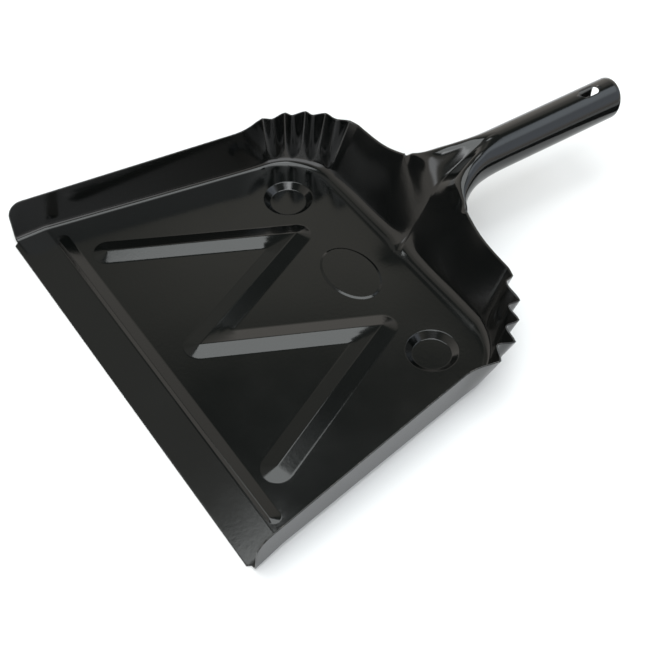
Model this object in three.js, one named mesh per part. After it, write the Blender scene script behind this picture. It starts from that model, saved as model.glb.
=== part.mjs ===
// A one-piece sheet-steel dust pan: a shallow tray with a stiffened floor, crimped rear corners,
// and a back wall whose wings curl outwards, down and under to form a tubular handle. The handle
// has a seam underneath and a hang slot on top.
// Millimetres, +Z up, +Y from the front lip to the handle. The origin is under the middle of the
// pan, on the plane it stands on.
import * as THREE from "three";

// Driving dimensions
const LENGTH = 383.5; // front lip to the end of the handle
const SHEET = 0.9;
const HALF_FRONT = 152.5; // half the floor width at the lip
const TAPER = 0.184; // how much each side moves in, per mm back from the lip
const BACK_Y = 210.5; // where floor and back wall would meet
const CORNER_R = 40; // rear corners of the floor, in plan
const FLOOR_Z = 4.5; // upper face of the floor above the ground

// Lip and floor pressings
const LIP_DEPTH = 22.5;
const LIP_DROP = FLOOR_Z - SHEET;
const LIP_OVERHANG = 2.5; // the lip reaches this far in front of the side walls
const LIP_CORNER = 1.5; // its front corners step in by this much
const BEAD = { front: 23.4, crest: 25.2, rear: 32.5, halfLength: 131, height: 1.6 };
const ZIGZAG = { endX: 104.3, endY: 47.5, peakX: 49.3, peakY: 160, midY: 57 };
const ZIGZAG_HALF_WIDTH = 10;
const ZIGZAG_HEIGHT = 2.2;
const FOOT = { x: 82.4, y: 174.8, rimR: 16.8, padR: 12.4 };
const OVAL = { y: 170.4, halfX: 25.3, halfY: 17.5, height: 0.5, bevel: 1.6 };

// Side walls and crimped corners
const SIDE_FRONT_H = 24.8;
const SIDE_RISE = 0.0385; // added wall height per mm back from the lip
const SIDE_LEAN = 0.1675; // outward lean per mm of height
const SIDE_CORNER_R = 10; // rounded upper front corner of a side wall
const SIDE_FOLD = 3;
const BACK_FOLD = 7;
const FLARE = 7.4; // each side wall spreads outwards before its first crimp
const FLARE_Y = 160;

// Crimps round a rear corner: crests lie on the flared wall and valleys are pressed into it.
// The last reach and height are those of the back wall, where the corner ends.
const CRESTS = [16.4, 33.6, 49.1, 64.3, 83.5].map(THREE.MathUtils.degToRad);
const VALLEYS = [23.7, 40.2, 58.2, 78.1].map(THREE.MathUtils.degToRad);
const CREST_REACH = [12.7, 14.0, 13.4, 15.2, 18.8, 20.5];
const CREST_HEIGHT = [31.8, 33.9, 37.2, 38.9, 40.1, 40.0];
const CRIMP_DEPTH = 7.5;
const CRIMP_ROUNDING = 0.7; // below 1 the crests are sharper than the valleys
const CRIMP_FOOT = { crest: 0.32, valley: 0.12 }; // share of the wall's height left plain
const CRIMP_BULGE = 0.8; // below 1 a valley deepens sooner on its way up

// Handle tube
const TUBE_R = 13.6;
const TUBE_Z = FLOOR_Z + 50.8; // height of the tube's axis
const TUBE_START = 281; // where the throat has closed to a round tube
const SPLIT_Y = 284; // the pan ends and the handle begins
const SPLIT_GAP = 0.3;
const SEAM_GAP = 0.3;
const END_RAKE = 8; // the underside of the tube ends this far short of its top
const SLOT = { y: 362.3, length: 15, width: 8 };

// Facets from the bottom of a wall, or the top of the tube, to its free edge
const UP_STEPS = 10;
const FOLD_STEPS = 3;

const V = (x, y, z) => new THREE.Vector3(x, y, z);
const mix = THREE.MathUtils.lerp;
const smooth = (x) => THREE.MathUtils.smoothstep(x, 0, 1);
const sideX = (y) => HALF_FRONT - TAPER * y;
const lipZ = (y) => FLOOR_Z - (LIP_DROP * Math.max(0, LIP_DEPTH - y)) / LIP_DEPTH;

// The rear corner arc in plan: it touches the side line and the back line.
const sideAngle = Math.atan(TAPER);
const cornerY = BACK_Y - CORNER_R;
const cornerX = sideX(cornerY) - CORNER_R / Math.cos(sideAngle);
const arcStartY = cornerY + CORNER_R * Math.sin(sideAngle);

// The back wall, from the corner to the end of its free rim: distance from the middle, lean (mm
// back per mm up) and height. From there to the middle it leans more, so its wings meet in a valley.
const wing = new THREE.CatmullRomCurve3([
  V(cornerX, CREST_REACH.at(-1) / CREST_HEIGHT.at(-1), CREST_HEIGHT.at(-1)),
  V(58.6, 0.555, 39.6),
  V(46.4, 0.535, 42.4),
  V(34, 0.527, 46.5),
]);
const [wingEndX, wingEndLean, wingEndHeight] = wing.getPoint(1).toArray();
const VALLEY_LEAN = 0.62;

// The throat, above the floor. Each row is a section from the valley line in the middle, up the
// flank to the ridge, over it, and down the outside to the free edge, which curls underneath.
const THROAT_ROWS = [
  [[0, 230.9, 33], [10.5, 233.5, 39.6], [20, 235.6, 45.2], [26.3, 236.8, 48.8],
    [30.4, 237.2, 49.2], [32.2, 237.2, 47.2], [32.6, 237, 44]],
  [[0, 235.4, 40.8], [10, 236.9, 45.5], [18, 238, 49.9], [22.4, 238, 52],
    [27, 238.3, 51.2], [29.2, 238.5, 47.6], [29.4, 238.5, 42.5]],
  [[0, 240, 45], [8.2, 240.1, 50], [14.4, 240.2, 54], [17.8, 240.2, 55.3],
    [23, 240.4, 53.4], [25.6, 240.6, 48], [25.4, 240.6, 40.5]],
  [[0, 246, 49], [6, 246.3, 53.8], [10, 246.5, 57.7], [12.9, 246.6, 59.1],
    [18.2, 246.8, 56.6], [21, 247, 49.5], [19, 246.8, 38.5]],
  [[0, 254, 53.4], [4.8, 254.4, 57.2], [8.1, 254.8, 60.5], [11.1, 255, 61.3],
    [15.8, 255, 57.6], [17.9, 255, 49], [12.8, 255, 38]],
  [[0, 263, 58.6], [4, 263.4, 61.2], [7.2, 263.8, 63], [11.4, 264, 60.6],
    [14.8, 264, 52.4], [12.8, 264, 42.8], [5, 264, 37]],
  [[0, 271.5, 62.4], [3.2, 271.6, 63.3], [6.2, 271.8, 63.2], [10.3, 272, 60],
    [13.8, 272, 52], [11.2, 272, 42.4], [2, 272, 37]],
];
const FLANK_SHARES = [0, 0.31, 0.52, 0.7, 0.84, 0.93, 1]; // where a flat row has its points
const ROUND_ANGLES = [0, 15, 32, 56, 90, 130, 179.4].map(THREE.MathUtils.degToRad);
const FLAT_SHARE = 0.65; // share of the wall, in the middle, that stays flat

const range = (n, make) => Array.from({ length: n + 1 }, (_, i) => make(i));
const steps = (n, from, to) => range(n, (i) => mix(from, to, i / n));

// Value at x on the straight lines through points (xs, ys).
function along(x, xs, ys) {
  const k = Math.min(Math.max(xs.findIndex((v) => v >= x), 1), xs.length - 1);
  return mix(ys[k - 1], ys[k], (x - xs[k - 1]) / (xs[k] - xs[k - 1]));
}

// A wall section is a list of points from the floor to the rim.
// It follows a rounded fold between floor and wall, then runs straight to the rim.
function foldedPoint(corner, outward, fold, rim, step) {
  const start = corner.clone().addScaledVector(outward, -fold);
  const up = rim.clone().sub(corner).normalize();
  const end = corner.clone().addScaledVector(up, fold);
  return step < FOLD_STEPS
    ? new THREE.QuadraticBezierCurve3(start, corner, end).getPoint(step / FOLD_STEPS)
    : end.lerp(rim, (step - FOLD_STEPS) / (UP_STEPS - FOLD_STEPS));
}

function foldedSection(corner, outward, fold, rim) {
  return range(UP_STEPS, (i) => foldedPoint(corner, outward, fold, rim, i));
}

// How far out and how high the rim of a side wall stands, for a distance from the lip.
function sideWall(y) {
  const height = SIDE_FRONT_H + SIDE_RISE * y;
  const crestY = cornerY + CORNER_R * Math.sin(CRESTS[0]);
  const spread = Math.max(0, (y - FLARE_Y) / (crestY - FLARE_Y)) ** 2;
  return [SIDE_LEAN * height + FLARE * spread, height];
}

function sideSection(y) {
  const corner = V(sideX(y), y, lipZ(y));
  const cut = Math.max(0, SIDE_CORNER_R - (y - LIP_OVERHANG));
  const rounding = SIDE_CORNER_R - Math.sqrt(SIDE_CORNER_R ** 2 - cut ** 2);
  const [reach, height] = sideWall(y);
  const turn = sideAngle * smooth((2 * y) / arcStartY - 1);
  const rim = V(Math.cos(turn), Math.sin(turn), 0)
    .multiplyScalar(reach - SIDE_LEAN * rounding)
    .add(corner)
    .setZ(FLOOR_Z + height - rounding);
  return foldedSection(corner, V(1, 0, 0), SIDE_FOLD, rim);
}

// Depth share of the crimps at the rim: 0 on a crest, 1 in a valley.
function crimp(angle) {
  const angles = [...CRESTS, ...VALLEYS].sort((a, b) => a - b);
  if (angle <= angles[0] || angle >= angles.at(-1)) return 0;
  const phase = along(angle, angles, angles.map((_, i) => i / 2));
  return (Math.sin(Math.PI * phase) ** 2) ** CRIMP_ROUNDING;
}

function cornerSection(angle) {
  const outward = V(Math.cos(angle), Math.sin(angle), 0);
  const corner = V(cornerX, cornerY, FLOOR_Z).addScaledVector(outward, CORNER_R);
  const stops = [...CRESTS, Math.PI / 2];
  const [reach, height] = angle < CRESTS[0]
    ? sideWall(corner.y)
    : [CREST_REACH, CREST_HEIGHT].map((values) => along(angle, stops, values));
  const rim = corner.clone().addScaledVector(outward, reach).setZ(FLOOR_Z + height);
  const t = (angle - sideAngle) / (Math.PI / 2 - sideAngle);
  const slope = Math.hypot(reach, height);
  const inward = outward.clone().multiplyScalar(-height / slope).setZ(reach / slope);
  const depth = crimp(angle);
  const start = mix(CRIMP_FOOT.crest, CRIMP_FOOT.valley, depth);
  return foldedSection(corner, outward, mix(SIDE_FOLD, BACK_FOLD, t), rim).map((p) => {
    const rise = THREE.MathUtils.clamp(((p.z - FLOOR_Z) / height - start) / (1 - start), 0, 1);
    return p.addScaledVector(inward, CRIMP_DEPTH * depth * rise ** CRIMP_BULGE);
  });
}

// A point of the back wall; step runs from 0 at its foot to UP_STEPS at the given height.
function backPoint(x, lean, height, step) {
  const corner = V(x, BACK_Y, FLOOR_Z);
  const rim = V(x, BACK_Y + lean * height, FLOOR_Z + height);
  return foldedPoint(corner, V(0, 1, 0), BACK_FOLD, rim, step);
}

function wingSection(t) {
  const [x, lean, height] = wing.getPoint(t).toArray();
  return range(UP_STEPS, (i) => backPoint(x, lean, height, i));
}

// A point on a line across the back wall to the end of its rim. The line starts at the foot of the
// wall at x, or at a share of its height in the middle; q is 0 at the start and 1 at the end.
function fanPoint(x, share, q) {
  const across = mix(x, wingEndX, q);
  const lean = mix(VALLEY_LEAN, wingEndLean, across / wingEndX);
  return backPoint(across, lean, wingEndHeight, UP_STEPS * mix(share, 1, q));
}

function fanSection(x, share = 0) {
  return range(UP_STEPS, (i) => fanPoint(x, share, i / UP_STEPS));
}

// The rows of the throat with one curve through the matching points of all of them.
const throatCurves = ROUND_ANGLES.map((angle, k) => new THREE.CatmullRomCurve3([
  fanPoint(0, FLAT_SHARE, FLANK_SHARES[k]),
  ...THROAT_ROWS.map((row) => V(...row[k]).add(V(0, 0, FLOOR_Z))),
  V(TUBE_R * Math.sin(angle), TUBE_START, TUBE_Z + TUBE_R * Math.cos(angle)),
]));

function throatSection(t) {
  const row = throatCurves.map((curve) => curve.getPoint(t));
  return new THREE.CatmullRomCurve3(row).getSpacedPoints(UP_STEPS);
}

// Half of the round tube at a distance y, from its top to the seam underneath. The hang slot
// opens it on top; rake moves the bottom of the section forward at the open end.
function tubeSection(y, rake = 0) {
  const off = Math.abs(y - SLOT.y) - (SLOT.length - SLOT.width) / 2;
  const slotHalf = off < SLOT.width / 2
    ? Math.sqrt((SLOT.width / 2) ** 2 - Math.max(0, off) ** 2)
    : 0;
  const top = Math.asin(slotHalf / TUBE_R);
  const seam = Math.asin(SEAM_GAP / 2 / TUBE_R);
  return steps(UP_STEPS, top, Math.PI - seam).map((angle) => {
    const back = (rake * (1 - Math.cos(angle))) / 2;
    return V(TUBE_R * Math.sin(angle), y - back, TUBE_Z + TUBE_R * Math.cos(angle));
  });
}

// An open surface that collects triangles with shared corners.
class Surface {
  constructor() {
    this.points = [];
    this.index = new Map();
    this.faces = [];
  }

  id(p) {
    const key = [p.x, p.y, p.z].map((v) => Math.round(v * 1000)).join();
    if (!this.index.has(key)) {
      this.index.set(key, this.points.length);
      this.points.push(p.clone());
    }
    return this.index.get(key);
  }

  triangle(a, b, c) {
    const ids = [a, b, c].map((p) => this.id(p));
    if (new Set(ids).size === 3) this.faces.push(ids);
  }

  quad(a, b, c, d) {
    if (a.distanceToSquared(c) <= b.distanceToSquared(d)) {
      this.triangle(a, b, c);
      this.triangle(a, c, d);
    } else {
      this.triangle(a, b, d);
      this.triangle(b, c, d);
    }
  }

  // Sections of the right half, and their mirror images, joined into two strips.
  walls(sections) {
    const mirror = (p) => V(-p.x, p.y, p.z);
    sections.slice(1).forEach((next, s) => {
      const here = sections[s];
      for (let i = 0; i < UP_STEPS; i++) {
        this.quad(here[i], here[i + 1], next[i + 1], next[i]);
        this.quad(...[here[i], next[i], next[i + 1], here[i + 1]].map(mirror));
      }
    });
  }

  // A flat region between an outline and its holes, with its height given by zOf.
  fill(outline, holes, zOf) {
    const flat = (ring) => ring.map((p) => new THREE.Vector2(p.x, p.y));
    const all = [outline, ...holes].flat();
    const made = THREE.ShapeUtils.triangulateShape(flat(outline), holes.map(flat));
    for (const face of made) {
      const [a, b, c] = face.map((i) => V(all[i].x, all[i].y, zOf(all[i].y)));
      const up = b.clone().sub(a).cross(c.clone().sub(a)).z > 0;
      this.triangle(a, up ? b : c, up ? c : b);
    }
  }

  // Faces from each point of a closed base ring up or down to the crest point it belongs to.
  raise(ring) {
    ring.forEach(({ base, crest }, i) => {
      const next = ring[(i + 1) % ring.length];
      this.quad(base, next.base, next.crest, crest);
    });
  }

  // The closed sheet: this surface, a copy pushed off it by the thickness, and the edges.
  thicken(thickness) {
    const normals = this.points.map(() => V(0, 0, 0));
    const facing = this.faces.map(([a, b, c]) => {
      const [p, q, r] = [a, b, c].map((i) => this.points[i]);
      return q.clone().sub(p).cross(r.clone().sub(p)).normalize();
    });
    this.faces.forEach((face, f) =>
      face.forEach((v, k) => {
        const p = this.points[v];
        const one = this.points[face[(k + 1) % 3]].clone().sub(p);
        const two = this.points[face[(k + 2) % 3]].clone().sub(p);
        normals[v].addScaledVector(facing[f], one.angleTo(two));
      }),
    );
    normals.forEach((n) => n.normalize());
    const sharpest = 0.6; // limits how far a vertex of a sharp fold is pushed
    const spread = this.points.map(() => 1);
    this.faces.forEach((face, f) =>
      face.forEach((v) => (spread[v] = Math.min(spread[v], normals[v].dot(facing[f])))),
    );
    const count = this.points.length;
    const pushed = this.points.map((p, i) =>
      p.clone().addScaledVector(normals[i], -thickness / Math.max(sharpest, spread[i])),
    );
    const index = [];
    const open = new Map();
    for (const [a, b, c] of this.faces) {
      index.push(a, b, c, count + a, count + c, count + b);
      for (const [u, v] of [[a, b], [b, c], [c, a]]) {
        if (!open.delete(v + ":" + u)) open.set(u + ":" + v, [u, v]);
      }
    }
    for (const [u, v] of open.values()) {
      index.push(v, u, count + u, v, count + u, count + v);
    }
    return new THREE.BufferGeometry()
      .setFromPoints([...this.points, ...pushed])
      .setIndex(index);
  }
}

// Base outline of a ridge of constant half width along a path, each point with its crest point.
// Outer bends and ends are rounded, inner bends are sharp.
function ridgeRing(path, halfWidth, baseZ) {
  const ring = [];
  const there = path.slice(1).map((p, i) => p.clone().sub(path[i]).setZ(0).normalize());
  const side = (d) => V(-d.y, d.x, 0);
  const put = (crest, offset) =>
    ring.push({ base: crest.clone().add(offset).setZ(baseZ), crest });
  const sweep = (crest, from, turn, steps) => {
    for (let i = 0; i <= steps; i++) {
      put(crest, from.clone().applyAxisAngle(V(0, 0, 1), (turn * i) / steps));
    }
  };
  const walk = (points, ways) => {
    for (let i = 1; i < points.length - 1; i++) {
      const from = side(ways[i - 1]).multiplyScalar(halfWidth);
      const turn = Math.atan2(
        ways[i - 1].clone().cross(ways[i]).z,
        ways[i - 1].dot(ways[i]),
      );
      if (turn < 0) sweep(points[i], from, turn, 4);
      else put(points[i], from.applyAxisAngle(V(0, 0, 1), turn / 2).divideScalar(Math.cos(turn / 2)));
    }
    const last = side(ways[ways.length - 1]).multiplyScalar(halfWidth);
    sweep(points[points.length - 1], last, -Math.PI, 6);
  };
  walk(path, there);
  walk([...path].reverse(), there.map((d) => d.clone().negate()).reverse());
  return ring.reverse();
}

function ellipse(x, y, z, halfX, halfY, steps) {
  return Array.from({ length: steps }, (_, i) => {
    const a = (2 * Math.PI * i) / steps;
    return V(x + halfX * Math.cos(a), y + halfY * Math.sin(a), z);
  });
}

// A pressed pad: a base ring, a slope, and a flat pad higher or lower than the floor.
function addPad(surface, x, y, [baseX, baseY], [padX, padY], padZ, steps) {
  const base = ellipse(x, y, FLOOR_Z, baseX, baseY, steps);
  const pad = ellipse(x, y, padZ, padX, padY, steps);
  surface.raise(base.map((p, i) => ({ base: p, crest: pad[i] })));
  surface.fill(pad, [], () => padZ);
  return base;
}

function addZigzag(surface) {
  const top = FLOOR_Z + ZIGZAG_HEIGHT;
  const { endX, endY, peakX, peakY, midY } = ZIGZAG;
  const path = [
    V(-endX, endY, top),
    V(-peakX, peakY, top),
    V(0, midY, top),
    V(peakX, peakY, top),
    V(endX, endY, top),
  ];
  const ring = ridgeRing(path, ZIGZAG_HALF_WIDTH, FLOOR_Z);
  surface.raise(ring);
  return ring.map((r) => r.base);
}

// The long bead behind the lip: a steep front face and a gentle rear face.
function addBead(surface) {
  const depth = (BEAD.rear - BEAD.front) / 2;
  const middle = BEAD.front + depth;
  const end = (sign) => V(sign * BEAD.halfLength, BEAD.crest, FLOOR_Z + BEAD.height);
  const ends = [end(1), end(-1)];
  const ring = ends.flatMap((crest, k) =>
    Array.from({ length: 7 }, (_, i) => {
      const a = -Math.PI / 2 + (Math.PI * i) / 6 + k * Math.PI;
      const base = V(crest.x + depth * Math.cos(a), middle + depth * Math.sin(a), FLOOR_Z);
      return { base, crest };
    }),
  );
  surface.raise(ring);
  return ring.map((r) => r.base);
}

function addFloor(surface, sections) {
  const right = sections.map((s) => s[0]);
  const behindLip = right.filter((p) => p.y >= LIP_DEPTH - 1e-6);
  const besideLip = right.filter((p) => p.y <= LIP_DEPTH + 1e-6);
  const mirrored = (ring) => ring.map((p) => V(-p.x, p.y, p.z)).reverse();
  const around = (ring) => [...ring, ...mirrored(ring.filter((p) => p.x > 0))];
  const feet = [1, -1].map((s) =>
    addPad(surface, s * FOOT.x, FOOT.y, [FOOT.rimR, FOOT.rimR], [FOOT.padR, FOOT.padR], SHEET, 24),
  );
  const { y, halfX, halfY, height, bevel } = OVAL;
  const oval = addPad(surface, 0, y, [halfX, halfY], [halfX - bevel, halfY - bevel],
    FLOOR_Z + height, 28);
  const holes = [...feet, oval, addZigzag(surface), addBead(surface)];
  surface.fill(around(behindLip), holes, () => FLOOR_Z);
  surface.fill(around([V(besideLip[0].x - LIP_CORNER, 0, lipZ(0)), ...besideLip]), [], lipZ);
}

// Right-hand wall sections from the front corner round to the end of the pan's own tube.
function panSections() {
  const roundUp = steps(6, 0, Math.PI / 2).map(
    (a) => LIP_OVERHANG + SIDE_CORNER_R * (1 - Math.cos(a)),
  );
  const stops = [...CRESTS, ...VALLEYS].sort((a, b) => a - b);
  const crimps = stops.slice(1).flatMap((angle, i) => steps(3, stops[i], angle).slice(1));
  return [
    ...[...roundUp, LIP_DEPTH, ...steps(3, FLARE_Y, arcStartY)].map(sideSection),
    ...[...steps(2, sideAngle, CRESTS[0]).slice(1), ...crimps].map(cornerSection),
    ...steps(2, CRESTS.at(-1), Math.PI / 2).slice(1).map(cornerSection),
    ...steps(5, 0, 1).slice(1).map(wingSection),
    ...steps(4, wingEndX, 0).slice(1).map((x) => fanSection(x)),
    ...steps(3, 0, FLAT_SHARE).slice(1).map((share) => fanSection(0, share)),
    ...steps(16, 0, 1).slice(1, -1).map(throatSection),
    ...[TUBE_START, SPLIT_Y].map((y) => tubeSection(y)),
  ];
}

function buildPan() {
  const surface = new Surface();
  const sections = panSections();
  surface.walls(sections);
  addFloor(surface, sections.filter((s) => s[0].z <= FLOOR_Z + 1e-6));
  return surface.thicken(SHEET);
}

function buildHandle() {
  const surface = new Surface();
  const straight = (SLOT.length - SLOT.width) / 2;
  const notch = [-90, -60, -30, 0].map(
    (a) => straight + (SLOT.width / 2) * Math.cos(THREE.MathUtils.degToRad(a)),
  );
  const slotEnd = [...notch].reverse();
  surface.walls([
    tubeSection(SPLIT_Y + SPLIT_GAP),
    ...slotEnd.map((d) => tubeSection(SLOT.y - d)),
    ...notch.map((d) => tubeSection(SLOT.y + d)),
    tubeSection(LENGTH, END_RAKE),
  ]);
  return surface.thicken(SHEET);
}

const group = new THREE.Group();
for (const [name, geometry] of [["pan_shell", buildPan()], ["handle_tube", buildHandle()]]) {
  const enamel = new THREE.MeshStandardMaterial({ color: 0x0b0b0c, roughness: 0.2 });
  const mesh = new THREE.Mesh(geometry, enamel);
  mesh.name = name;
  mesh.position.y = -LENGTH / 2;
  group.add(mesh);
}

export default group;
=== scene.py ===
"""A black enamelled dust pan, pressed, crimped and rolled from one sheet of steel, on a white table."""

import math

import bpy
import numpy as np
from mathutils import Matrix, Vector
from mathutils.geometry import delaunay_2d_cdt


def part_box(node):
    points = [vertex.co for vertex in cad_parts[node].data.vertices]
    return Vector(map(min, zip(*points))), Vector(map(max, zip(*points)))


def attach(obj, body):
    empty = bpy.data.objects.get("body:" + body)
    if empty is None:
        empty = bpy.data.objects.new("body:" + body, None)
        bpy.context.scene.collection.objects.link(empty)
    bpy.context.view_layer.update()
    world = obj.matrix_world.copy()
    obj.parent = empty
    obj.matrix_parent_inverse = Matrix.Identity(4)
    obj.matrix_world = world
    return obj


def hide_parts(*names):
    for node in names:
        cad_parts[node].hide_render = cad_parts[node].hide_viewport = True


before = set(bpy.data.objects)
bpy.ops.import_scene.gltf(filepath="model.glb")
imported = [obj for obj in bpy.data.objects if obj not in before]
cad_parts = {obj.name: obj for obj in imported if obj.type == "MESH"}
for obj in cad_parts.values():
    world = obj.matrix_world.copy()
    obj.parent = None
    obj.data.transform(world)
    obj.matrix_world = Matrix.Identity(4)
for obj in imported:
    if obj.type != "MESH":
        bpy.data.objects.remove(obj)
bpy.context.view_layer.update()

pan_low, pan_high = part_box("pan_shell")
tube_low, tube_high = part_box("handle_tube")

# Shapes are worked out in millimetres, with y from the front lip and z from the ground.
MM = 0.001
LIP_Y = pan_low.y / MM
LENGTH = (tube_high.y - pan_low.y) / MM
SPLIT_Y = tube_low.y / MM - LIP_Y
TUBE_R = tube_high.x / MM
TUBE_Z = tube_high.z / MM - TUBE_R

SHEET = 0.9
EDGE_R = SHEET / 4  # the rounding of a cut edge reaches this far into the sheet
HALF_FRONT = 152.5
TAPER = 0.184  # how much each side moves in, per mm back from the lip
BACK_Y = 210.5  # where floor and back wall would meet
CORNER_R = 40.0  # rear corners of the floor, in plan
FLOOR_Z = 4.5

LIP_DEPTH = 22.5
LIP_DROP = FLOOR_Z - SHEET
LIP_OVERHANG = 2.5  # the lip reaches this far in front of the side walls
LIP_CORNER = 1.5  # and draws in by this much at each end
LIP_EDGE = 0.6  # a line this far behind the lip's edge keeps the lip flat
BEAD_FRONT, BEAD_CREST, BEAD_REAR = 23.4, 25.2, 32.5
BEAD_HALF, BEAD_HEIGHT = 131.0, 1.6
ZIGZAG = [(-104.3, 47.5), (-49.3, 160.0), (0.0, 57.0), (49.3, 160.0), (104.3, 47.5)]
ZIGZAG_HALF_WIDTH, ZIGZAG_HEIGHT = 10.0, 2.2
FOOT_X, FOOT_Y, FOOT_R, FOOT_PAD_R = 82.4, 174.8, 16.8, 12.4
OVAL_Y, OVAL_HALF_X, OVAL_HALF_Y, OVAL_HEIGHT, OVAL_BEVEL = 170.4, 25.3, 17.5, 0.5, 1.6

SIDE_FRONT_H, SIDE_RISE, SIDE_LEAN, SIDE_CORNER_R = 24.8, 0.0385, 0.1675, 10.0
SIDE_FOLD, BACK_FOLD = 3.0, 7.0
FLARE, FLARE_Y = 7.4, 160.0  # each side wall spreads outwards before its first crimp
FLOOR_MARGIN = 0.4  # lines across the floor stop this far short of the side folds
BEND_GAP = 0.5  # and stand this far in front of and behind the bend of the lip

# Crimps round a rear corner: crests lie on the flared wall and valleys are pressed into it. The
# rim's distance out from the floor's edge and its height are given at each crest and at the back.
CREST_ANGLES = np.radians([16.4, 33.6, 49.1, 64.3, 83.5])
VALLEY_ANGLES = np.radians([23.7, 40.2, 58.2, 78.1])
WALL_ANGLES = [*CREST_ANGLES, math.pi / 2]
WALL_REACH = [12.7, 14.0, 13.4, 15.2, 18.8, 20.5]
WALL_HEIGHT = [31.8, 33.9, 37.2, 38.9, 40.1, 40.0]
CRIMP_DEPTH = 7.5
CRIMP_ROUNDING = 0.7  # below 1, crests get sharper and valleys rounder
CRIMP_FOOT_CREST, CRIMP_FOOT_VALLEY = 0.32, 0.12  # where a crimp starts, as shares of the height
CRIMP_BULGE = 0.8  # below 1, a valley goes in fastest near its foot

TUBE_START = 281.0  # the throat has become a round tube here
SEAM_GAP = 0.12
END_RAKE = 8.0  # the bottom of the handle's open end lies this far in front of its top
SLOT_Y, SLOT_LENGTH, SLOT_WIDTH = 362.3, 15.0, 8.0

# How finely the sheet is divided.
FOLD_STEPS = 16
UP_STEPS = 44
LIP_STEPS, SIDE_STEPS, CRIMP_STEPS = 3, 39, 16
WING_STEPS, FAN_STEPS, VALLEY_STEPS, THROAT_STEPS, TUBE_STEPS = 24, 16, 12, 80, 2
HANDLE_STEPS, END_STEPS = 23, 5  # in front of the hang slot and behind it
ROUND_STEPS = 8  # to a quarter circle of a side wall's front corner or the hang slot
BEND_STEPS, CAP_STEPS = 12, 16  # round a bend of the ridge or an end of the bead, and its own ends
RING_STEPS = 72  # round a pad
RELAX_TIMES = 40

SIDE_ANGLE = math.atan(TAPER)
CORNER_Y = BACK_Y - CORNER_R
CORNER_X = HALF_FRONT - TAPER * CORNER_Y - CORNER_R / math.cos(SIDE_ANGLE)
ARC_START_Y = CORNER_Y + CORNER_R * math.sin(SIDE_ANGLE)


def vec(*values):
    return np.array(values, float)


def mix(a, b, t):
    return a + (b - a) * t


def steps(start, end, count):
    """Even steps from start to end, without the start itself."""
    return np.linspace(start, end, count + 1)[1:]


def smooth(t):
    t = np.clip(t, 0, 1)
    return t * t * (3 - 2 * t)


def unit(v):
    return v / np.linalg.norm(v)


def side_x(y):
    return HALF_FRONT - TAPER * y


def lip_z(y):
    return FLOOR_Z - LIP_DROP * max(0.0, LIP_DEPTH - y) / LIP_DEPTH


class Curve:
    """A smooth curve through a few points, or rows of points, from 0 at the first to 1 at the last."""

    def __init__(self, points):
        self.p = np.array(points, float)

    def at(self, t):
        n = len(self.p) - 1
        k = min(int(t * n), n - 1)
        w = t * n - k
        p1, p2 = self.p[k], self.p[k + 1]
        p0 = self.p[k - 1] if k else 2 * p1 - p2
        p3 = self.p[k + 2] if k < n - 1 else 2 * p2 - p1
        gaps = [np.linalg.norm(b - a) ** 0.5 for a, b in ((p0, p1), (p1, p2), (p2, p3))]
        m1 = (p1 - p0) / gaps[0] - (p2 - p0) / (gaps[0] + gaps[1]) + (p2 - p1) / gaps[1]
        m2 = (p2 - p1) / gaps[1] - (p3 - p1) / (gaps[1] + gaps[2]) + (p3 - p2) / gaps[2]
        m1, m2 = m1 * gaps[1], m2 * gaps[1]
        return (
            (2 * w**3 - 3 * w**2 + 1) * p1
            + (w**3 - 2 * w**2 + w) * m1
            + (3 * w**2 - 2 * w**3) * p2
            + (w**3 - w**2) * m2
        )


# The back wall, from the corner to the end of its free rim: distance from the middle, lean (mm
# back per mm up) and height. From there to the middle it leans more, so the two meet in a valley.
WING = Curve([
    (CORNER_X, WALL_REACH[-1] / WALL_HEIGHT[-1], WALL_HEIGHT[-1]),
    (58.6, 0.555, 39.6),
    (46.4, 0.535, 42.4),
    (34.0, 0.527, 46.5),
])
WING_END_X, WING_END_LEAN, WING_END_HEIGHT = WING.at(1.0)
VALLEY_LEAN = 0.62

# The throat's first rows lie on the back wall, from a share of its height in the middle to the end
# of its rim, and its last row is round.
FLAT_SHARES = (0.3, 0.45, 0.6)
FLANK_SHARES = (0, 0.09, 0.31, 0.52, 0.7, 0.84, 0.93, 1.0)  # where their points lie on the way
NEAR_VALLEY = 0.3  # an extra point this far up the first piece of a flank keeps the valley crisp
ROUND_ANGLES = np.radians([0, 5, 15, 32, 56, 90, 130, 179.7])  # from the tube's top
ROUND_FROM = 0.9  # the last part of the throat blends into the round tube
TUBE_TOP = TUBE_Z - FLOOR_Z + TUBE_R


def folded_row(valley, *others):
    """A section over the ridge, with one more point close to the valley line."""
    valley, flank = vec(*valley), vec(*others[0])
    return [valley, mix(valley, flank, NEAR_VALLEY), *[vec(*p) for p in others]]


def round_row():
    """Points round the tube, where the throat has become round."""
    row = []
    for a in ROUND_ANGLES:
        drop = TUBE_R * (1 - math.cos(a))
        row.append(vec(TUBE_R * math.sin(a), TUBE_START, TUBE_TOP - drop))
    return row


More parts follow.
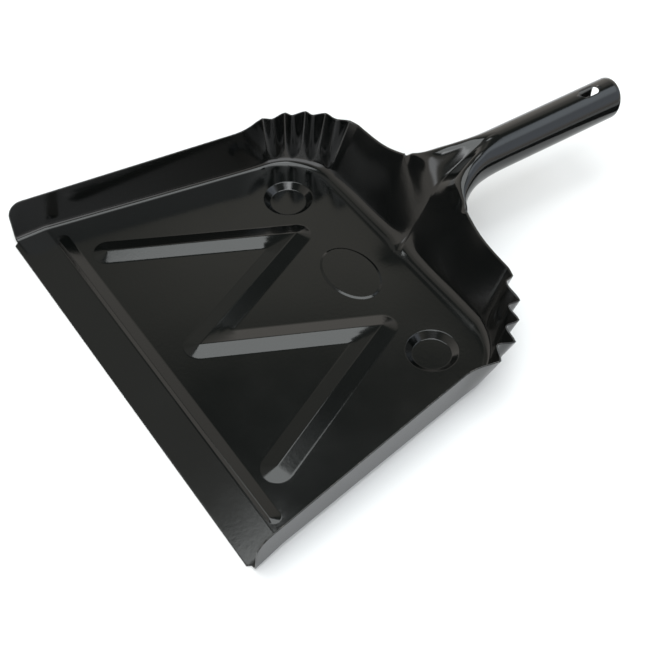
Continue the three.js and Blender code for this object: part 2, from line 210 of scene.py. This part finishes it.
# The throat, above the floor. Each row is a section from the valley line in the middle, up the
# flank to the ridge, over it, and down the outside to the free edge, which curls underneath.
THROAT_ROWS = [
    folded_row((0, 230.9, 33), (10.5, 233.5, 39.6), (20, 235.6, 45.2), (26.3, 236.8, 48.8),
               (30.4, 237.2, 49.2), (32.2, 237.2, 47.2), (32.6, 237, 44)),
    folded_row((0, 235.4, 40.8), (10, 236.9, 45.5), (18, 238, 49.9), (22.4, 238, 52),
               (27, 238.3, 51.2), (29.2, 238.5, 47.6), (29.4, 238.5, 42.5)),
    folded_row((0, 240, 45), (8.2, 240.1, 50), (14.4, 240.2, 54), (17.8, 240.2, 55.3),
               (23, 240.4, 53.4), (25.6, 240.6, 48), (25.4, 240.6, 40.5)),
    folded_row((0, 246, 49), (6, 246.3, 53.8), (10, 246.5, 57.7), (12.9, 246.6, 59.1),
               (18.2, 246.8, 56.6), (21, 247, 49.5), (19, 246.8, 38.5)),
    folded_row((0, 254, 53.4), (4.8, 254.4, 57.2), (8.1, 254.8, 60.5), (11.1, 255, 61.3),
               (15.8, 255, 57.6), (17.9, 255, 49), (12.8, 255, 38)),
    folded_row((0, 263, 58.6), (4, 263.4, 61.2), (7.2, 263.8, 63), (11.4, 264, 60.6),
               (14.8, 264, 52.4), (12.8, 264, 42.8), (5, 264, 37)),
    folded_row((0, 271.5, 62.4), (3.2, 271.6, 63.3), (6.2, 271.8, 63.2), (10.3, 272, 60),
               (13.8, 272, 52), (11.2, 272, 42.4), (2, 272, 37)),
]


# ---- Wall sections: points from the floor to the rim, on the inner face of the right half ----
def evenly(points):
    """The same line in equal steps."""
    run = np.append(0, np.cumsum(np.linalg.norm(np.diff(points, axis=0), axis=1)))
    stops = np.linspace(0, run[-1], UP_STEPS + 1)
    return np.stack([np.interp(stops, run, points[:, k]) for k in range(3)], 1)


def folded_section(corner, outward, fold, rim):
    """A rounded fold from the floor, then straight to the rim."""
    start, end = corner - outward * fold, corner + unit(rim - corner) * fold
    t = np.linspace(0, 1, FOLD_STEPS + 1)[:, None]
    rounding = (1 - t) ** 2 * start + 2 * t * (1 - t) * corner + t**2 * end
    return evenly(np.vstack([rounding, rim]))


def side_wall(y):
    """How far out and how high the rim of a side wall stands, for a distance from the lip."""
    height = SIDE_FRONT_H + SIDE_RISE * y
    crest_y = CORNER_Y + CORNER_R * math.sin(CREST_ANGLES[0])
    spread = max(0.0, (y - FLARE_Y) / (crest_y - FLARE_Y)) ** 2
    return SIDE_LEAN * height + FLARE * spread, height


def side_section(y):
    """A side wall at a distance from the lip, with its front top corner rounded off."""
    corner = vec(side_x(y), y, lip_z(y))
    cut = max(0.0, SIDE_CORNER_R - (y - LIP_OVERHANG))
    rounding = SIDE_CORNER_R - math.sqrt(SIDE_CORNER_R**2 - cut**2)
    reach, height = side_wall(y)
    reach -= SIDE_LEAN * rounding
    turn = SIDE_ANGLE * smooth(y / ARC_START_Y * 2 - 1)
    rim = corner + vec(math.cos(turn), math.sin(turn), 0) * reach
    rim[2] = FLOOR_Z + height - rounding
    return folded_section(corner, vec(1, 0, 0), SIDE_FOLD, rim)


def crimp(angle):
    """Depth share of the crimps at the rim: 0 on a crest, 1 in a valley."""
    angles = sorted([*CREST_ANGLES, *VALLEY_ANGLES])
    phase = np.interp(angle, angles, np.arange(len(angles)) / 2)
    return (math.sin(math.pi * phase) ** 2) ** CRIMP_ROUNDING


def corner_section(angle):
    """The wall of a rear corner at an angle from the sideways direction, with its crimps."""
    outward = vec(math.cos(angle), math.sin(angle), 0)
    corner = vec(CORNER_X, CORNER_Y, FLOOR_Z) + outward * CORNER_R
    if angle < CREST_ANGLES[0]:
        reach, height = side_wall(corner[1])
    else:
        reach, height = (np.interp(angle, WALL_ANGLES, v) for v in (WALL_REACH, WALL_HEIGHT))
    rim = corner + outward * reach + vec(0, 0, height)
    t = (angle - SIDE_ANGLE) / (math.pi / 2 - SIDE_ANGLE)
    section = folded_section(corner, outward, mix(SIDE_FOLD, BACK_FOLD, t), rim)
    length = math.hypot(reach, height)
    inward = vec(0, 0, reach / length) - outward * (height / length)
    depth = crimp(angle)
    foot = mix(CRIMP_FOOT_CREST, CRIMP_FOOT_VALLEY, depth)
    rise = np.clip(((section[:, 2] - FLOOR_Z) / height - foot) / (1 - foot), 0, 1)
    return section + np.outer(CRIMP_DEPTH * depth * rise**CRIMP_BULGE, inward)


def back_wall(x, lean, height):
    """The back wall at a distance from the middle, leaning back by lean mm per mm up."""
    corner = vec(x, BACK_Y, FLOOR_Z)
    return folded_section(corner, vec(0, 1, 0), BACK_FOLD, corner + vec(0, lean, 1) * height)


def wing_section(t):
    """The back wall under its free rim, from the corner at 0 to the rim's end at 1."""
    return back_wall(*WING.at(t))


def fan_section(x, share=0.0):
    """A line across the back wall to the end of its rim, from its foot at x or from a share of
    its height in the middle."""
    section = []
    for q in np.linspace(0, 1, UP_STEPS + 1):
        across = mix(x, WING_END_X, q)
        lean = mix(VALLEY_LEAN, WING_END_LEAN, across / WING_END_X)
        wall = back_wall(across, lean, WING_END_HEIGHT)
        up = mix(share, 1, q) * UP_STEPS
        section.append([np.interp(up, range(UP_STEPS + 1), wall[:, k]) for k in range(3)])
    return np.array(section)


def flat_row(share):
    """The points of a fan section that the rows of the throat continue."""
    section = fan_section(0.0, share) - vec(0, 0, FLOOR_Z)
    return [section[round(k * UP_STEPS)] for k in FLANK_SHARES]


def throat_sections():
    """Sections from the back wall to the round tube, each from the valley line to the free edge."""
    flat_rows = [flat_row(share) for share in FLAT_SHARES]
    throat = Curve([*flat_rows, *THROAT_ROWS, round_row()])
    made = []
    for t in steps(0, 1, THROAT_STEPS):
        line = Curve(throat.at(t) + vec(0, 0, FLOOR_Z))
        section = evenly(np.array([line.at(q) for q in np.linspace(0, 1, 2 * UP_STEPS)]))
        roundness = smooth((t - ROUND_FROM) / (1 - ROUND_FROM))
        made.append(mix(section, tube_section(section[0][1]), roundness))
    return made


def relaxed(sections):
    """Evens out sharp changes between neighbouring sections, apart from their first points."""
    grid = np.array(sections)
    for _ in range(RELAX_TIMES):
        grid[1:-1, 1:] = (grid[:-2, 1:] + 2 * grid[1:-1, 1:] + grid[2:, 1:]) / 4
    return list(grid)


def tube_section(y, rake=0.0):
    """Half of the tube from its top to the seam underneath. Rake moves the bottom forward."""
    off = abs(y - SLOT_Y) - (SLOT_LENGTH - SLOT_WIDTH) / 2
    slot_half = 0.0
    if off < SLOT_WIDTH / 2:
        slot_half = math.sqrt((SLOT_WIDTH / 2) ** 2 - max(0.0, off) ** 2)
    seam = math.asin(SEAM_GAP / 2 / TUBE_R)
    a = np.linspace(math.asin(slot_half / TUBE_R), math.pi - seam, UP_STEPS + 1)
    back = rake * (1 - np.cos(a)) / 2
    return np.stack([TUBE_R * np.sin(a), y - back, TUBE_Z + TUBE_R * np.cos(a)], 1)


# ---- Floor pressings: closed rings of points with their heights ----
STRAIGHT_GAP = 3.0  # extra points stand this far from bends, so that straight stretches stay flat
STRAIGHT_MARGIN, STRAIGHT_POINTS = 24.0, 5  # and these are spread evenly between them
CUT_MARGIN = 2.0  # none stands closer than this to a sharp inside corner
SOFT = 0.05  # half width of the rounding at each end of a slope, as a share of the slope
TO_CREST_STOPS = [-2 * SOFT, -SOFT, 0, SOFT, 2 * SOFT, 0.5, 1 - 2 * SOFT, 1 - SOFT]
SLOPE_STOPS = [*TO_CREST_STOPS, 1, 1 + SOFT, 1 + 2 * SOFT]


def ramp_up(t):
    """Zero, then a line that climbs from t = 0, with the corner rounded."""
    return max(0.0, t) if abs(t) > SOFT else (t + SOFT) ** 2 / (4 * SOFT)


def slope(t):
    """A straight slope from 0 to 1 with both ends rounded."""
    return ramp_up(t) - ramp_up(t - 1)


def turned(v, a):
    """A flat vector turned by an angle."""
    return vec(v[0] * math.cos(a) - v[1] * math.sin(a), v[0] * math.sin(a) + v[1] * math.cos(a))


def left_side(path, width):
    """A line to the left of a path, round outside its bends and its end, and sharp inside them."""
    ways = [unit(b - a) for a, b in zip(path, path[1:])]
    turns = [math.atan2(a[0] * b[1] - a[1] * b[0], a @ b) for a, b in zip(ways, ways[1:])]
    cuts = [0, *[width * math.tan(max(0.0, turn) / 2) for turn in turns], 0]
    turns.append(-math.pi)  # round the end
    made = []
    for k, way in enumerate(ways):
        left = vec(-way[1], way[0]) * width
        run = np.linalg.norm(path[k + 1] - path[k])
        even = np.linspace(STRAIGHT_MARGIN, run - STRAIGHT_MARGIN, STRAIGHT_POINTS)
        for s in (STRAIGHT_GAP, *even, run - STRAIGHT_GAP):
            if cuts[k] + CUT_MARGIN < s < run - cuts[k + 1] - CUT_MARGIN:
                made.append(path[k] + way * s + left)
        turn = turns[k]
        if turn > 0:
            made.append(path[k + 1] + turned(left, turn / 2) / math.cos(turn / 2))
            continue
        count = CAP_STEPS if k == len(ways) - 1 else BEND_STEPS
        made += [path[k + 1] + turned(left, turn * i / count) for i in range(count + 1)]
    return made


def ridge_ring(path, width):
    """The outline all round a path, at a distance from it."""
    path = [vec(*p) for p in path]
    return left_side(path, width) + left_side(path[::-1], width)


def ellipse(x, y, half_x, half_y):
    turns = [2 * math.pi * i / RING_STEPS for i in range(RING_STEPS)]
    return [vec(x + half_x * math.cos(a), y + half_y * math.sin(a)) for a in turns]


class Floor:
    """Points with heights and the edges that a triangulation must keep."""

    def __init__(self):
        self.points = []
        self.edges = []

    def line(self, points, z, closed=False):
        first = len(self.points)
        self.points += [(p[0], p[1], z) for p in points]
        count = len(points)
        self.edges += [(first + i, first + i + 1) for i in range(count - 1)]
        if closed:
            self.edges.append((first + count - 1, first))

    def line_across(self, y):
        """A line across the pan, which stops just short of its side folds."""
        half = side_x(y) - SIDE_FOLD - FLOOR_MARGIN
        self.line([vec(-half, y), vec(half, y)], lip_z(y))

    def surface(self, boundary):
        """Triangles that fill the boundary, kept to its own points and to every line."""
        count = len(boundary)
        flat = [Vector(p[:2]) for p in boundary] + [Vector(p[:2]) for p in self.points]
        height = [p[2] for p in boundary] + [p[2] for p in self.points]
        edges = [(a + count, b + count) for a, b in self.edges]
        face = [list(range(count))]
        verts, _, faces, origin, _, _ = delaunay_2d_cdt(flat, edges, face, 1, 1e-4)
        made = []
        for v, ids in zip(verts, origin):
            z = height[ids[0]] if ids else FLOOR_Z
            made.append(boundary[ids[0]] if ids and ids[0] < count else vec(v.x, v.y, z))
        return made, faces


def add_zigzag(floor):
    """The zigzag ridge, with its crest line in the middle."""
    floor.line(ZIGZAG, FLOOR_Z + ZIGZAG_HEIGHT * slope(1))
    for t in TO_CREST_STOPS:
        ring = ridge_ring(ZIGZAG, ZIGZAG_HALF_WIDTH * (1 - t))
        floor.line(ring, FLOOR_Z + ZIGZAG_HEIGHT * slope(t), closed=True)


def add_bead(floor):
    """The long bead behind the lip: a steep front face and a gentle rear face."""
    middle, depth = (BEAD_FRONT + BEAD_REAR) / 2, (BEAD_REAR - BEAD_FRONT) / 2
    crests = [vec(sign * BEAD_HALF, BEAD_CREST) for sign in (1, -1)]
    for t in TO_CREST_STOPS:
        ring = []
        for crest, turn in zip(crests, (-math.pi / 2, math.pi / 2)):
            cap = turn + np.linspace(0, math.pi, BEND_STEPS + 1)
            inward = -math.copysign(STRAIGHT_GAP, crest[0])
            for a, shift in [(cap[0], inward), *[(a, 0) for a in cap], (cap[-1], inward)]:
                base = vec(crest[0] + depth * math.cos(a), middle + depth * math.sin(a))
                ring.append(mix(base, crest, t) + vec(shift, 0))
        floor.line(ring, FLOOR_Z + BEAD_HEIGHT * slope(t), closed=True)
    floor.line(crests, FLOOR_Z + BEAD_HEIGHT * slope(1))


def add_pad(floor, x, y, outer, inner, height):
    """A pressed pad with a straight slope between its outer and inner outlines."""
    for t in SLOPE_STOPS:
        half_x, half_y = (mix(o, n, t) for o, n in zip(outer, inner))
        floor.line(ellipse(x, y, half_x, half_y), FLOOR_Z + height * slope(t), closed=True)


# ---- Sheet mesh ----
FLIP = vec(-1, 1, 1)  # turns a point of the right half into its mirror image
EDGE_TURNS = np.radians([45, 90, 135])  # points round a cut edge
FOLD_LIMIT = 0.7  # keeps the thickness from growing too much at a sharp fold
RUBBED_BESIDE, RUBBED_EDGE = 0.6, 1.0  # how much the enamel is rubbed beside and on a cut edge


class Sheet:
    """The inner face of the sheet, collected from strips and triangles with shared corners."""

    def __init__(self):
        self.points = []
        self.index = {}
        self.faces = []

    def corner(self, p):
        """The number of a point, the same for all points in one place."""
        key = tuple(np.round(np.asarray(p) * 1000).astype(int))
        if key not in self.index:
            self.index[key] = len(self.points)
            self.points.append(np.array(p, float))
        return self.index[key]

    def face(self, corners):
        """Adds a face, without the corners that fall together."""
        ids = [self.corner(p) for p in corners]
        kept = [a for i, a in enumerate(ids) if a != ids[i - 1]]
        if len(kept) > 2:
            self.faces.append(kept)

    def walls(self, sections):
        """Joins each section to the next, on the right half and mirrored on the left."""
        for here, after in zip(sections, sections[1:]):
            for i in range(len(here) - 1):
                self.face([here[i], here[i + 1], after[i + 1], after[i]])
                self.face([p * FLIP for p in (here[i], after[i], after[i + 1], here[i + 1])])

    def floor(self, floor, right):
        """Fills the inside of the right-hand boundary and its mirror image."""
        left = [p * FLIP for p in right[::-1] if p[0] > 1e-9]
        points, faces = floor.surface(list(right) + left)
        for face in faces:
            corners = [points[i] for i in face]
            a, b, c = corners[:3]
            if np.cross(b - a, c - a)[2] < 0:
                corners.reverse()
            self.face(corners)

    def normals(self):
        """The normal at each point, and the cosine of the sharpest lean of its faces from it."""
        total = np.zeros((len(self.points), 3))
        points = np.array(self.points)
        facing = []
        for face in self.faces:
            p = points[face]
            n = sum(np.cross(p[i] - p[0], p[i + 1] - p[0]) for i in range(1, len(p) - 1))
            facing.append(unit(n))
            for k, v in enumerate(face):
                one = p[(k + 1) % len(p)] - p[k]
                two = p[k - 1] - p[k]
                angle = math.acos(np.clip(unit(one) @ unit(two), -1, 1))
                total[v] += facing[-1] * angle
        total /= np.linalg.norm(total, axis=1)[:, None]
        spread = np.ones(len(points))
        for face, n in zip(self.faces, facing):
            spread[face] = np.minimum(spread[face], total[face] @ n)
        return total, np.maximum(spread, FOLD_LIMIT)

    def rim(self):
        """The cut edge of the sheet: the next point after each of its points."""
        open_edges = set()
        for face in self.faces:
            for a, b in zip(face, face[1:] + face[:1]):
                if (b, a) in open_edges:
                    open_edges.remove((b, a))
                else:
                    open_edges.add((a, b))
        return dict(sorted(open_edges))

    def solid(self, name, cut_y):
        """A Blender object of the sheet with its thickness and rounded edges. The edge at cut_y,
        where two meshes of one sheet meet, stays square."""
        normal, spread = self.normals()
        inner = np.array(self.points)
        outer = inner - normal * (SHEET / spread)[:, None]
        count = len(inner)
        verts = [*inner, *outer]
        after = self.rim()
        before = {b: a for a, b in after.items()}
        rounded = [v for v in after if abs(inner[v][1] - cut_y) >= 1e-6]
        across = {v: [v, v + count] for v in after}
        for v in rounded:
            along = inner[after[v]] - inner[before[v]]
            out = unit(np.cross(unit(along), normal[v])) * EDGE_R
            top, bottom = inner[v] - out, outer[v] - out
            verts[v], verts[v + count] = top, bottom
            across[v] = [v, *range(len(verts), len(verts) + len(EDGE_TURNS)), v + count]
            for turn in EDGE_TURNS:
                around = (top - bottom) / 2 * math.cos(turn) + out * math.sin(turn)
                verts.append((top + bottom) / 2 + around)
        faces = self.faces + [[v + count for v in face[::-1]] for face in self.faces]
        square = set()
        for a, b in after.items():
            one, two = across[a], across[b]
            if len(one) == len(two):
                faces += [[one[i + 1], two[i + 1], two[i], one[i]] for i in range(len(one) - 1)]
            else:
                faces.append([*one[::-1], *two])
            if len(one) == len(two) == 2:
                square |= {frozenset((a, b)), frozenset((a + count, b + count))}
        made = sheet_object(name, verts, faces, square)
        rubbed = np.zeros(len(verts))
        rubbed[[*rounded, *[v + count for v in rounded]]] = RUBBED_BESIDE
        rubbed[2 * count:] = RUBBED_EDGE
        worn = made.data.attributes.new("worn_edge", "FLOAT", "POINT")
        worn.data.foreach_set("value", rubbed)
        return made


def sheet_object(name, verts, faces, square):
    """A smooth-shaded object in the row's frame, with the given edges kept sharp."""
    mesh = bpy.data.meshes.new(name)
    row = (np.array(verts) + vec(0, LIP_Y, 0)) * MM
    mesh.from_pydata(row.tolist(), [], faces)
    mesh.shade_smooth()
    for edge in mesh.edges:
        edge.use_edge_sharp = frozenset(edge.vertices) in square
    mesh.validate()
    made = bpy.data.objects.new(name, mesh)
    bpy.context.scene.collection.objects.link(made)
    return made


# ---- The two pieces ----
def pan_sections():
    """Sections of the right half, from the front of the side wall round the corner to the tube."""
    quarter = np.linspace(0, math.pi / 2, ROUND_STEPS + 1)
    front = [LIP_OVERHANG + SIDE_CORNER_R * (1 - math.cos(a)) for a in quarter]
    lip = steps(front[-1], LIP_DEPTH, LIP_STEPS)
    side = steps(LIP_DEPTH, ARC_START_Y, SIDE_STEPS)
    crimps = []
    for low, high in zip([SIDE_ANGLE, *CREST_ANGLES], WALL_ANGLES):
        crimps += [*steps(low, high, CRIMP_STEPS)]
    back = [
        corner_section(crimps[-1]),
        *[wing_section(t) for t in steps(0, 1, WING_STEPS)],
        *[fan_section(x) for x in steps(WING_END_X, 0, FAN_STEPS)],
        *[fan_section(0.0, share) for share in steps(0, FLAT_SHARES[0], VALLEY_STEPS)],
        *throat_sections(),
        *[tube_section(y) for y in steps(TUBE_START, SPLIT_Y, TUBE_STEPS)],
    ]
    return [
        *[side_section(y) for y in (*front, *lip, *side)],
        *[corner_section(a) for a in crimps[:-1]],
        *relaxed(back),
    ]


def tray_floor():
    """The level floor behind the lip, with everything that is pressed into it."""
    floor = Floor()
    floor.line_across(LIP_DEPTH + BEND_GAP)
    add_zigzag(floor)
    add_bead(floor)
    foot, pad = (FOOT_R, FOOT_R), (FOOT_PAD_R, FOOT_PAD_R)
    for sign in (1, -1):
        add_pad(floor, sign * FOOT_X, FOOT_Y, foot, pad, SHEET - FLOOR_Z)
    outer = (OVAL_HALF_X, OVAL_HALF_Y)
    inner = (OVAL_HALF_X - OVAL_BEVEL, OVAL_HALF_Y - OVAL_BEVEL)
    add_pad(floor, 0, OVAL_Y, outer, inner, OVAL_HEIGHT)
    return floor


def lip_floor(half):
    """The sloping lip, up to half its width at its edge."""
    floor = Floor()
    floor.line_across(LIP_DEPTH - BEND_GAP)
    half -= LIP_EDGE
    floor.line([vec(-half, LIP_EDGE), vec(half, LIP_EDGE)], lip_z(LIP_EDGE))
    return floor


def make_pan():
    sheet = Sheet()
    sections = pan_sections()
    sheet.walls(sections)
    edge = [s[0] for s in sections if s[0][2] <= FLOOR_Z + 1e-6]
    sheet.floor(tray_floor(), [p for p in edge if p[1] >= LIP_DEPTH - 1e-6])
    half = edge[0][0] - LIP_CORNER
    lip = [vec(half, 0, lip_z(0)), *[p for p in edge if p[1] <= LIP_DEPTH + 1e-6]]
    sheet.floor(lip_floor(half), lip)
    pan = sheet.solid("pan_sheet", SPLIT_Y)
    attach(pan, "root")
    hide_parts("pan_shell")
    return pan


def make_handle():
    straight = (SLOT_LENGTH - SLOT_WIDTH) / 2
    quarter = np.linspace(0, math.pi / 2, ROUND_STEPS + 1)
    notch = [straight + SLOT_WIDTH / 2 * math.sin(a) for a in quarter]
    plain = np.linspace(SPLIT_Y, SLOT_Y - notch[-1], HANDLE_STEPS + 1)[:-1]
    end = steps(SLOT_Y + notch[-1], LENGTH, END_STEPS)
    ys = [*plain, *[SLOT_Y - d for d in notch[::-1]], *[SLOT_Y + d for d in notch]]
    sheet = Sheet()
    sheet.walls([
        *[tube_section(y) for y in ys],
        *[tube_section(y, END_RAKE * (y - ys[-1]) / (LENGTH - ys[-1])) for y in end],
    ])
    handle = sheet.solid("handle_sheet", SPLIT_Y)
    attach(handle, "root")
    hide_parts("handle_tube")
    return handle


# ---- Materials ----
class Nodes:
    """A short way to add nodes and link them."""

    def __init__(self, tree):
        self.tree = tree
        self.tree.nodes.clear()

    def add(self, kind, values=None, **settings):
        node = self.tree.nodes.new("ShaderNode" + kind)
        for key, value in settings.items():
            setattr(node, key, value)
        for key, value in (values or {}).items():
            if isinstance(value, bpy.types.NodeSocket):
                self.tree.links.new(value, node.inputs[key])
            else:
                node.inputs[key].default_value = value
        return node


def enamel():
    """Glossy black enamel: orange peel, faint waves of the sheet, smudges and rubbed edges."""
    material = bpy.data.materials.new("black_enamel")
    material.use_nodes = True
    n = Nodes(material.node_tree)
    place = n.add("TexCoord").outputs["Object"]
    peel = n.add("TexNoise", {"Vector": place, "Scale": 420.0, "Detail": 2.0})
    waves = n.add("TexNoise", {"Vector": place, "Scale": 14.0, "Detail": 1.0})
    smudge = n.add("TexNoise", {"Vector": place, "Scale": 22.0, "Detail": 5.0, "Roughness": 0.6})
    grime = n.add("TexNoise", {"Vector": place, "Scale": 260.0, "Detail": 4.0, "Roughness": 0.7})
    rim = n.add("Attribute", attribute_name="worn_edge").outputs["Fac"]
    rubbed = n.add("Math", {0: rim, 1: grime.outputs["Fac"]}, operation="MULTIPLY")
    wear = n.add("MapRange", {"Value": rubbed.outputs[0], "From Min": 0.5, "From Max": 0.7})
    colour = n.add("MixRGB", {
        "Fac": wear.outputs[0],
        "Color1": (0.0014, 0.0018, 0.0017, 1),
        "Color2": (0.05, 0.047, 0.042, 1),
    })
    gloss = n.add("MapRange", {
        "Value": smudge.outputs["Fac"], "From Min": 0.3, "From Max": 0.7,
        "To Min": 0.1, "To Max": 0.15,
    })
    low = n.add("Bump", {"Height": waves.outputs["Fac"], "Strength": 0.1, "Distance": 0.0012})
    fine = n.add("Bump", {
        "Height": peel.outputs["Fac"], "Strength": 0.25, "Distance": 0.00006,
        "Normal": low.outputs[0],
    })
    shader = n.add("BsdfPrincipled", {
        "Base Color": colour.outputs[0], "Roughness": gloss.outputs[0],
        "Normal": fine.outputs[0], "IOR": 1.5,
    })
    n.add("OutputMaterial", {"Surface": shader.outputs[0]})
    return material


def table_material():
    material = bpy.data.materials.new("white_table")
    material.use_nodes = True
    n = Nodes(material.node_tree)
    shader = n.add("BsdfPrincipled", {
        "Base Color": (0.82, 0.82, 0.82, 1), "Roughness": 0.7, "Specular IOR Level": 0.1,
    })
    n.add("OutputMaterial", {"Surface": shader.outputs[0]})
    return material


# ---- Room ----
# Brightness of the walls against the sine of the height angle.
WALL_LEVELS = [
    (0.0, (1.0, 0.95, 0.88)),
    (0.46, (1.0, 0.95, 0.88)),
    (0.6, (0.7, 0.67, 0.62)),
    (0.73, (0.58, 0.57, 0.51)),
    (0.77, (0.13, 0.14, 0.13)),
    (1.0, (0.1, 0.11, 0.11)),
]
# Soft panels: azimuth from +x towards +y, half width, lowest and highest angle, blur (all in
# degrees), radiance.
PANELS = [
    (55, 30, 10, 45, 6, (1.15, 1.25, 1.4)),
    (72, 24, 43, 60, 5, (2.1, 2.3, 2.5)),
    (172, 15, 24, 49, 5, (0.34, 0.34, 0.31)),
    (184, 14, 46, 62, 4, (0.45, 0.45, 0.42)),
    (-32, 26, 56, 66, 4, (2.8, 2.85, 2.9)),
    (-50, 50, 8, 36, 6, (3.0, 3.05, 3.1)),
]


# From here on, the scene's own sizes are in metres.
# Low black cards that only show in the enamel: where each stands, its width and its height.
FLAGS = [
    ((-0.23, -0.32), 0.5, 0.07),
    ((0.105, 0.2), 0.3, 0.042),
]
TABLE_HALF = 4.0
SOFTBOX_AT, SOFTBOX_TARGET, SOFTBOX_SIZE = (0.02, -0.05, 1.5), (0.02, -0.05, 0), (1.4, 1.35)
SOFTBOX_RADIANCE, SOFTBOX_COLOUR = 3.5, (0.96, 1.0, 1.0)

# The camera's place is in mm from the middle of the lip, at the height of the pan's floor. Its
# azimuth goes from the front towards the right.
CAMERA_X, CAMERA_Y, CAMERA_Z = 488.5, -176.94, 626.41
CAMERA_AZIMUTH, CAMERA_ELEVATION = math.radians(56.32), math.radians(48.43)
CAMERA_LENS, CAMERA_SENSOR = 74.1, 36.0


def plane(name, corners, material):
    """A flat four-sided object."""
    mesh = bpy.data.meshes.new(name)
    mesh.from_pydata(corners, [], [(0, 1, 2, 3)])
    mesh.materials.append(material)
    made = bpy.data.objects.new(name, mesh)
    bpy.context.scene.collection.objects.link(made)
    return made


def make_table():
    half = TABLE_HALF
    corners = [(-half, -half, 0), (half, -half, 0), (half, half, 0), (-half, half, 0)]
    table = plane("table", corners, table_material())


def make_camera():
    """The camera stands to the right of the pan's front, a little under a metre away."""
    data = bpy.data.cameras.new("camera")
    data.sensor_width = CAMERA_SENSOR
    data.lens = CAMERA_LENS
    camera = bpy.data.objects.new("camera", data)
    back = Vector((
        math.sin(CAMERA_AZIMUTH) * math.cos(CAMERA_ELEVATION),
        -math.cos(CAMERA_AZIMUTH) * math.cos(CAMERA_ELEVATION),
        math.sin(CAMERA_ELEVATION),
    ))
    camera.rotation_euler = back.to_track_quat("Z", "Y").to_euler()
    camera.location = (CAMERA_X * MM, (CAMERA_Y + LIP_Y) * MM, (CAMERA_Z + FLOOR_Z) * MM)
    bpy.context.scene.collection.objects.link(camera)
    bpy.context.scene.camera = camera


def make_softbox():
    """A large rectangular light straight above the pan."""
    data = bpy.data.lights.new("softbox", "AREA")
    data.shape = "RECTANGLE"
    data.size, data.size_y = SOFTBOX_SIZE
    data.energy = SOFTBOX_RADIANCE * math.pi * data.size * data.size_y
    data.color = SOFTBOX_COLOUR
    light = bpy.data.objects.new("softbox", data)
    light.location = SOFTBOX_AT
    back = Vector(SOFTBOX_AT) - Vector(SOFTBOX_TARGET)
    light.rotation_euler = back.to_track_quat("Z", "Y").to_euler()
    bpy.context.scene.collection.objects.link(light)


def card_material():
    material = bpy.data.materials.new("black_card")
    material.use_nodes = True
    n = Nodes(material.node_tree)
    shader = n.add("BsdfPrincipled", {"Base Color": (0.02, 0.02, 0.02, 1), "Roughness": 0.9})
    n.add("OutputMaterial", {"Surface": shader.outputs[0]})
    return material


def black_flag(place, width, height):
    """An upright card that faces the middle of the pan."""
    half = width / 2
    corners = [(-half, 0, 0), (half, 0, 0), (half, 0, height), (-half, 0, height)]
    flag = plane("flag", corners, card_material())
    flag.location = (*place, 0)
    flag.rotation_euler[2] = math.atan2(place[1], place[0]) + math.pi / 2
    flag.visible_camera = False
    flag.visible_diffuse = False
    flag.visible_shadow = False


def soft_band(n, value, low, high, blur):
    """1 between two values and 0 outside them, with soft edges."""
    made = []
    for edge, inwards in ((low, blur), (high, -blur)):
        values = {"Value": value, "From Min": edge - inwards, "From Max": edge + inwards}
        made.append(n.add("MapRange", values, interpolation_type="SMOOTHSTEP").outputs[0])
    return n.add("Math", {0: made[0], 1: made[1]}, operation="MULTIPLY").outputs[0]


def blend(n, x, y, x_share, y_share):
    """A weighted sum of two node values."""
    part = n.add("Math", {0: x, 1: x_share}, operation="MULTIPLY").outputs[0]
    return n.add("Math", {0: y, 1: y_share, 2: part}, operation="MULTIPLY_ADD").outputs[0]


def make_world():
    """A studio room: pale walls low down, dark above them, and soft panels round the table."""
    world = bpy.data.worlds.new("studio")
    bpy.context.scene.world = world
    world.use_nodes = True
    n = Nodes(world.node_tree)
    x, y, z = n.add("SeparateXYZ", {0: n.add("TexCoord").outputs["Generated"]}).outputs
    ramp = n.add("ValToRGB", {"Fac": z})
    points = ramp.color_ramp.elements
    for where, _ in WALL_LEVELS[2:]:
        points.new(where)
    for point, (where, colour) in zip(points, WALL_LEVELS):
        point.position = where
        point.color = (*colour, 1)
    light = ramp.outputs[0]
    elevation = n.add("Math", {0: z}, operation="ARCSINE").outputs[0]
    for azimuth, *edges, colour in PANELS:
        turn = math.radians(azimuth)
        half_width, low, high, blur = np.radians(edges)
        ahead = blend(n, x, y, math.cos(turn), math.sin(turn))
        aside = blend(n, x, y, -math.sin(turn), math.cos(turn))
        swing = n.add("Math", {0: aside, 1: ahead}, operation="ARCTAN2").outputs[0]
        sideways = soft_band(n, swing, -half_width, half_width, blur)
        upright = soft_band(n, elevation, low, high, blur)
        share = n.add("Math", {0: sideways, 1: upright}, operation="MULTIPLY").outputs[0]
        light = n.add("MixRGB", {"Fac": share, "Color1": light, "Color2": (*colour, 1)}).outputs[0]
    sky = n.add("Background", {"Color": light, "Strength": 1.0})
    n.add("OutputWorld", {"Surface": sky.outputs[0]})


def main():
    black = enamel()
    for piece in (make_pan(), make_handle()):
        piece.data.materials.append(black)
    make_table()
    make_world()
    make_softbox()
    for place, width, height in FLAGS:
        black_flag(place, width, height)
    make_camera()
    bpy.context.scene.view_settings.view_transform = "Standard"


main()
